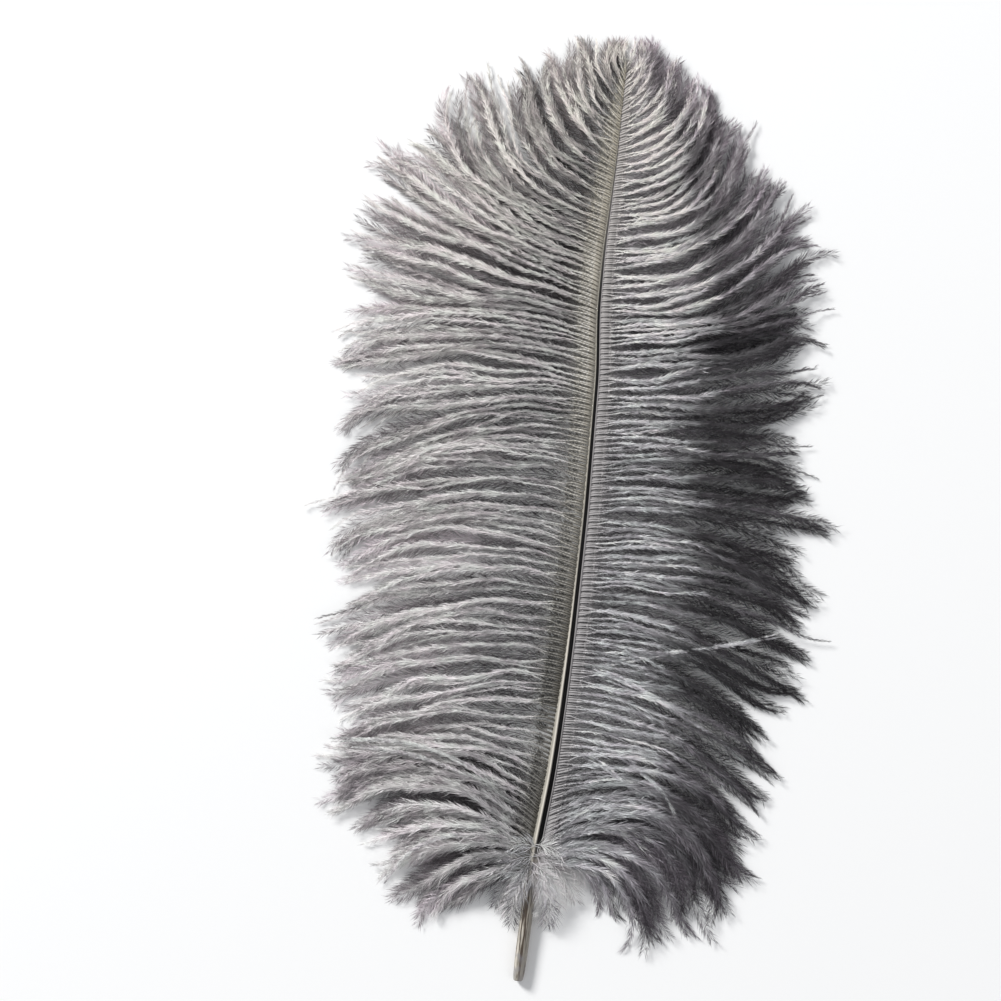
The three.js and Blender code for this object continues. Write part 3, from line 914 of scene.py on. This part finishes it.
def make_hairs(barbs, strips, count, blade_end, rng):
    """Bent kites down both sides of the barbs: vertices, triangles and UVs."""
    barb, q = place_hairs(barbs, count, blade_end, rng)
    length, comb, down, fluff = (barbs[key][barb] for key in ("length", "comb", "down", "fluff"))
    out = q * length
    base, direction = sample_lines(barbs["lines"], barb, q)
    side = np.where(rng.random(count) < 0.5, -1.0, 1.0)
    sideways = unit(np.cross(direction, (0, 0, 1)))
    upward = np.cross(sideways, direction)
    wide = (barbs["under"] | barbs["tuft"])[barb].astype(float)

    def by_layer(key):
        return STRAND_HAIR[key] + (LOW_HAIR[key] - STRAND_HAIR[key]) * wide

    def towards(angle, aside):
        return direction * np.cos(angle)[:, None] + aside * np.sin(angle)[:, None]

    in_comb = fade_out(out - comb, *COMB_HAIR["fade"])
    near = fade_out(out - comb, *NEAR_COMB)
    tip = fade_in(q, *TIP_FADE)
    spread = by_layer("spread") + by_layer("open") * fade_in(q, *OPEN_FADE) + DOWN_HAIR["spread"] * down
    spread = spread * (1 - in_comb) + COMB_HAIR["spread"] * in_comb + rng.normal(0, SPREAD_NOISE, count)
    spread = np.radians(spread) * (1 - TIP_CLOSING * tip)
    roll = rng.normal(0, 1, count) * by_layer("roll") * (1 - COMB_HAIR["roll"] * in_comb)
    roll = np.radians(HAIR_TILT + roll)
    outward = sideways * (side * np.cos(roll))[:, None] + upward * np.sin(roll)[:, None]
    first = towards(spread, outward)
    second = towards(spread * (HAIR_BEND[0] + HAIR_BEND[1] * rng.random(count)), outward)
    second[:, 2] -= HAIR_DROOP[0] + HAIR_DROOP[1] * rng.random(count)
    size = by_layer("length") + by_layer("grow") * ease(q / GROWN_AT) + DOWN_HAIR["length"] * down
    size = size * fluff * (1 - NEAR_LOSS * near * (1 - wide)) * (1 - TIP_LOSS * tip)
    size = size * (1 - in_comb) + COMB_HAIR["length"] * (1 + wide) * in_comb
    half = (size * rng.uniform(*HAIR_SIZES, count) / 2)[:, None]
    middle = base + first * half
    end = middle + unit(second) * half
    face = unit(np.cross(first, unit(rng.normal(HAIR_FACING, FACING_NOISE, (count, 3)))))
    width = HAIR_WIDTH / 2 * rng.uniform(*HAIR_WIDTHS, count)
    width = (width * (1 + in_comb * (COMB_HAIR["width"] + wide)))[:, None]
    vertices = np.stack([base, middle + face * width, middle - face * width, end], axis=1)
    lowest = LOWEST_HAIR * rng.uniform(*LOWEST_SPREAD, (count, 1))
    vertices[..., 2] = np.maximum(vertices[..., 2], lowest)
    u = np.clip(place_on_map(out, length, comb)[:, None] + np.array(KITE_OUT), 0.001, 0.999)
    v = (strips[barb][:, None] + (0.5 + np.array(KITE_ON_STRIP) * side[:, None])) / len(strips)
    start = np.arange(count) * 4
    triangles = stack_triangles([(start, start + 2, start + 1), (start + 1, start + 2, start + 3)])
    return vertices.reshape(-1, 3), triangles, np.stack([u, v], axis=-1).reshape(-1, 2)


print("triangles per piece:", TRIANGLES)

# %% From arrays to a mesh


def build_mesh(name, vertices, triangles, uvs):
    """A mesh object at the origin from arrays, with its UV map."""
    mesh = bpy.data.meshes.new(name)
    mesh.vertices.add(len(vertices))
    mesh.vertices.foreach_set("co", to_frame(vertices[:, 0], vertices[:, 1], vertices[:, 2]).ravel())
    mesh.loops.add(triangles.size)
    mesh.loops.foreach_set("vertex_index", triangles.ravel().astype(np.int32))
    mesh.polygons.add(len(triangles))
    mesh.polygons.foreach_set("loop_start", np.arange(len(triangles), dtype=np.int32) * 3)
    layer = mesh.uv_layers.new(name="OFBake")
    layer.uv.foreach_set("vector", uvs[triangles.ravel()].ravel().astype(np.float32))
    mesh.update(calc_edges=True)
    mesh.validate()
    piece = bpy.data.objects.new(name, mesh)
    bpy.context.collection.objects.link(piece)
    return piece


# %% [markdown]
# ## The finish of the barbs
#
# The dye took unevenly: every barb has its own grey, with a breath of mauve here and of cold grey
# there, and the comb of roots stays beige. Light and shade are painted in as well: the low barbs
# are painted dark as the shade under the strands, so they are the dark ground that the silver
# strands stand on; each hair darkens towards its end as painted shade between the strands, and
# some strands carry a painted glint. All of it is read from the UV map: the strip's number gives a
# barb its shade, and the way out along it the rest.

# %% Barb finish
MAP_BLUR = 0.03
INNER_END, MIDDLE_AT = 0.44, 0.62
TONE_STOPS = ((0.45, 0.6), (0.66, 0.86))
OWN_SHADES, PATCH_SHADES, FLECK_SHADES = (0.65, 1.35), (0.68, 1.32), (0.7, 1.3)
# Hairs darken from the stem to their ends: painted shade between the strands.
HAIR_SHADES, HAIR_SHADE = [(0.0, 1.0), (0.14, 0.92), (0.26, 0.68), (0.46, 0.42)], 1.62
SOFT_SHADE = 1.12
COMB_OWN_SHADES = (0.8, 1.15)
# How dark the low barbs are painted: painted shade under the strands.
LOOSE_TONE, LOW_SHADE_OUTER = 1.15, 0.5
# The comb's hairs darken towards their ends too: painted shade in the gaps between rows.
COMB_SHADES, COMB_SHADE = [(0.0, 1.0), (0.04, 0.95), (0.10, 0.55), (0.46, 0.34)], 1.3
PATCHES_OUT, PATCHES_ACROSS = 14.0, 40.0
# Flecks: a random tone for each hair, partly a painted sparkle of barbules catching the light.
FLECKS, FLECK_STEP = 220, 3.7
DASHES, DASH_STEP = 24, 0.9
WEAVES, WEAVE_STEP = 140, 2.2
SHARED_STEP = 0.37
# A painted glint: a highlight painted along the outer half of some strands.
GLINT_BARBS = (0.56, 0.66)
GLINT_PLACE = [(0.40, 0.0), (0.55, 1.0), (0.80, 1.0), (0.95, 0.0)]
# The notches just past the comb are painted shadow between the rising strands.
NOTCH_SHADOW_PLACE = [(COMB_ON_MAP - 0.02, 0.5), (COMB_ON_MAP + 0.14, 1.0)]
BRIGHTEST = (0.88, 0.86, 0.84)
TINTS = [(0.38, (1.015, 0.97, 1.01)), (0.62, (0.965, 1.0, 0.985))]
LOW_TINT = (1.03, 0.955, 1.03)
WARM_TINT = (1.02, 0.99, 0.92)
BARB_ROUGHNESS, BARB_GLOSS = 0.5, 0.35


def make_down(name, strip_count, map_shares, blade_end, colours, tones):
    """Dyed down whose colour runs from root to tip, with a shade of its own for each barb."""
    down = Finish(name)
    span, times, blend, mix = down.span, down.times, down.blend, down.mix

    def marks(x, y, detail, dimensions="2D"):
        place = down.add("CombineXYZ", {"X": x, "Y": y})
        return down.noise(place, 1.0, detail, noise_dimensions=dimensions)

    # Where: which barb, how far out along it, and how far off its stem.
    uv = down.add("UVMap", {}, uv_map="OFBake")
    u, v = (down.add("SeparateXYZ", {"Vector": uv}, axis) for axis in "XY")
    strip = times(v, float(strip_count))
    number = down.math("FLOOR", strip)
    off_stem = down.math("ABSOLUTE", down.math("SUBTRACT", down.math("FRACT", strip), 0.5))
    past_blade = span(u, blade_end, blade_end + MAP_BLUR)
    out = span(u, COMB_ON_MAP - 0.03, COMB_ON_MAP + 0.04)
    loose_share, high_share = map_shares
    is_loose = down.math("LESS_THAN", v, loose_share)
    is_low = down.math("GREATER_THAN", v, high_share)
    place = blend(is_low, span(v, 0.0, high_share), span(v, high_share, 1.0))

    # Tones that change along the piece.
    comb_tone, inner_tone, middle_tone, outer_tone, soft, warm = (
        span(place, 0.0, 1.0, *tones[key]) for key in ("comb", "inner", "middle", "outer", "soft", "warm")
    )
    tone = blend(span(u, *TONE_STOPS[0]), inner_tone, middle_tone)
    tone = blend(span(u, *TONE_STOPS[1]), tone, outer_tone)
    tone = blend(is_loose, blend(out, comb_tone, tone), LOOSE_TONE)

    # Chances: of one barb, shared by neighbours, and marks along the barbs.
    own = down.add("TexWhiteNoise", {"W": number}, noise_dimensions="1D")
    shared = down.add("TexNoise", {"W": times(number, SHARED_STEP), "Detail": 1.0}, noise_dimensions="1D")
    patches = marks(times(u, PATCHES_OUT), times(v, PATCHES_ACROSS), 3.0, "3D")
    # The flecks stand partly for single barbules catching the light: a painted sparkle.
    flecks = marks(times(u, FLECKS), times(number, FLECK_STEP), 0.0)
    dashes = marks(times(u, DASHES), times(number, DASH_STEP), 2.0)
    weave = down.math("SINE", down.math("ADD", times(u, WEAVES), times(number, WEAVE_STEP)))

    # Shade: the barbs, a painted glint on some, the comb, and the low barbs under them. Each hair,
    # in the comb too, darkens from its stem to its end: painted shade between the strands.
    # band: neighbouring barbs share a shade, partly random tone and partly painted light and shadow from
    # strand to strand.
    band, dash = colours["band"], colours["dash"]
    shade = times(
        span(own, 0.0, 1.0, *OWN_SHADES),
        span(shared, 0.3, 0.7, 1 - band, 1 + band),
        span(patches, 0.3, 0.7, *PATCH_SHADES),
        span(flecks, 0.25, 0.75, *FLECK_SHADES),
        span(dashes, 0.4, 0.6, 1 - dash, 1 + dash),
        blend(soft, down.curve(off_stem, HAIR_SHADES, HAIR_SHADE), SOFT_SHADE),
    )
    # Painted highlight: some strands are brightened along their outer half.
    glint = times(span(shared, *GLINT_BARBS), down.curve(u, GLINT_PLACE))
    shade = times(shade, blend(glint, 1.0, colours["glint"]))
    comb_shade = times(
        span(own, 0.0, 1.0, *COMB_OWN_SHADES),
        span(weave, -1.0, 1.0, *colours["weave"]),
        down.curve(off_stem, COMB_SHADES, COMB_SHADE),
    )
    # Painted shade: the low barbs are darkened as the shadow under the strands, deepest in the notches past
    # the comb.
    low = times(down.curve(u, NOTCH_SHADOW_PLACE), span(u, 0.4, 1.0, colours["low_shade_inner"], LOW_SHADE_OUTER))
    low = blend(out, colours["low_shade_comb"], low)
    shade = times(blend(out, comb_shade, shade), blend(is_low, 1.0, low), tone)
    shade = blend(past_blade, comb_tone, shade)
    grey = down.add("CombineColor", {"Red": shade, "Green": shade, "Blue": shade})

    # Colour: from root to tip, then shaded, kept from glaring, and tinted.
    colour = down.ramp(u, [
        (0.0, colours["blade"]), (blade_end, colours["blade"]),
        (blade_end + MAP_BLUR, colours["comb"]), (COMB_ON_MAP - 0.02, colours["comb"]),
        (COMB_ON_MAP + 0.05, colours["inner"]), (INNER_END, colours["inner"]),
        (MIDDLE_AT, colours["middle"]), (1.0, colours["outer"]),
    ])
    colour = mix(1.0, mix(is_loose, colour, colours["inner"]), grey, "MULTIPLY")
    colour = mix(1.0, colour, BRIGHTEST, "DARKEN")
    tint = mix(is_low, down.ramp(patches, TINTS), LOW_TINT)
    colour = mix(out, colour, mix(1.0, colour, tint, "MULTIPLY"))
    colour = mix(warm, colour, mix(1.0, colour, WARM_TINT, "MULTIPLY"))
    down.set(down.shader, {
        "Base Color": colour, "Roughness": BARB_ROUGHNESS, "Specular IOR Level": BARB_GLOSS,
    })
    return down.material


print("brightest the down can get:", BRIGHTEST)

# %% [markdown]
# ## The vanes
#
# The left vane keeps a pale, even grey. The right one is nearly black in its outer half, but for
# its two ends: painted shade where that half slopes away from the light. Each is made in three
# pieces, because one mesh of half a million triangles is a burden, and they share one set of
# lines, so no seam shows. The four numbers of a tone are for the base of the feather, the two
# joints between the pieces, and the tip.

# %% Colours and measures of both vanes
VANES = {
    "left": dict(
        side=-1, table=LEFT_BARBS, loose=LOOSE_LEFT, tuft=TUFT_LEFT, seed=3,
        comb_turn=math.radians(12), wave=math.radians(10), blade_end=0.08,
        combs=[(41, 4.0), (80, 5.5), (130, 7.0), (270, 7.0), (303, 6.0), (321, 3.6), (333, 2.0)],
        colours=dict(
            blade=(0.50, 0.47, 0.41), comb=(0.60, 0.575, 0.525), inner=(0.58, 0.567, 0.56),
            middle=(0.60, 0.575, 0.565), outer=(0.66, 0.635, 0.625), low_shade_inner=0.16,
            low_shade_comb=0.6, glint=2.6, dash=0.3, band=0.5, weave=(0.7, 1.12),
        ),
        tones=dict(
            comb=(0.33, 0.38, 1.15, 1.12), inner=(0.90, 0.98, 1.02, 0.95),
            middle=(0.97, 1.02, 1.01, 0.96), outer=(0.97, 1.02, 1.01, 0.96),
            soft=(0.2, 0.15, 0.1, 0.25), warm=(0.0, 0.1, 0.3, 1.0),
        ),
    ),
    "right": dict(
        side=1, table=RIGHT_BARBS, loose=LOOSE_RIGHT, tuft=TUFT_RIGHT, seed=11,
        comb_turn=math.radians(8), wave=math.radians(9), blade_end=0.19,
        combs=[(41, 3.6), (120, 4.0), (220, 4.0), (331, 2.5)],
        # middle and outer: near black, painted shade on the outer half that slopes away from the light.
        colours=dict(
            blade=(0.36, 0.345, 0.345), comb=(0.44, 0.42, 0.42), inner=(0.52, 0.52, 0.525),
            middle=(0.075, 0.071, 0.075), outer=(0.050, 0.045, 0.050), low_shade_inner=0.24,
            low_shade_comb=0.8, glint=2.1, dash=0.28, band=0.34, weave=(0.85, 1.1),
        ),
        tones=dict(
            comb=(0.9, 1.0, 1.0, 1.2), inner=(0.92, 0.88, 0.98, 2.9),
            middle=(4.2, 0.65, 1.1, 4.5), outer=(3.4, 0.5, 1.2, 11.0),
            soft=(0.65, 0.8, 0.7, 0.25), warm=(0.0, 0.0, 0.2, 0.8),
        ),
    ),
}

# %% Build both vanes
PARTS = ("base", "middle", "tip")
TUFT_START, TUFT_RISE, TUFT_COMB = 2.0, 3.2, 0.5
LOOSE_FLUFF, STRAY_FLUFF = 0.5, 0.75


def add_loose(barbs, paths, start, rise, stray):
    """Puts loose barbs or a tuft in beside the roots where they start."""
    fans = LOOSE_FANS if stray else (0.0,)
    for path, fan in [(path, fan) for path in paths for fan in fans]:
        line, length = trace_loose(path, start, rise, fan)
        place = int(np.searchsorted(barbs["lines"][:, 0, 1], path[0][0]))
        new = dict(lines=line, length=length, under=False, stray=stray, loose=stray, tuft=not stray)
        for key, value in new.items():
            barbs[key] = np.insert(barbs[key], place, value, axis=0)


def plan_vane(rng, loose, tuft, combs, **traced):
    """All barbs of a vane as a dict of arrays."""
    barbs = trace_barbs(rng=rng, combs=combs, **traced)
    for key in ("tuft", "loose"):
        barbs[key] = np.zeros(len(barbs["length"]), bool)
    add_loose(barbs, loose, LOOSE_START, LOOSE_RISE, True)
    add_loose(barbs, tuft, TUFT_START, TUFT_RISE, False)
    along = barbs["lines"][:, 0, 1]
    barbs["comb"] = np.where(barbs["tuft"], TUFT_COMB, read_pairs(combs, along))
    barbs["down"] = down_at(along) * ~barbs["stray"]
    barbs["fluff"] = np.where(barbs["loose"], LOOSE_FLUFF, np.where(barbs["stray"], STRAY_FLUFF, 1.0))
    return barbs


def build_vane(word, seed, blade_end, colours, tones, **settings):
    """The three pieces of a vane, each with its own finish."""
    rng = np.random.default_rng(seed)
    barbs = plan_vane(rng, **settings)
    shares = np.array_split(np.arange(len(barbs["length"])), len(PARTS))
    for k, (part, members) in enumerate(zip(PARTS, shares)):
        own = {key: value[members] for key, value in barbs.items()}
        strips = np.empty(len(members), int)
        order = own["under"].astype(int) - own["loose"]
        strips[np.argsort(order, kind="stable")] = np.arange(len(members))
        stems = make_stems(own, strips, blade_end)
        hair_count = (TRIANGLES - len(stems[1])) // 2
        hairs = make_hairs(own, strips, hair_count, blade_end, rng)
        vertices = np.concatenate([stems[0], hairs[0]])
        triangles = np.concatenate([stems[1], hairs[1] + len(stems[0])])
        uvs = np.concatenate([stems[2], hairs[2]])
        piece = build_mesh(f"{word}_barbs_{part}", vertices, triangles, uvs)
        map_shares = float(own["loose"].mean()), float((~own["under"]).mean())
        own_tones = {key: values[k:k + 2] for key, values in tones.items()}
        piece.data.materials.append(make_down(
            f"{word} down {part}", len(members), map_shares, blade_end, colours, own_tones,
        ))
        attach(piece, "root")
        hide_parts(f"{word}_vane")
        print(piece.name, len(piece.data.polygons), "triangles")


for word, settings in VANES.items():
    build_vane(word, **settings)
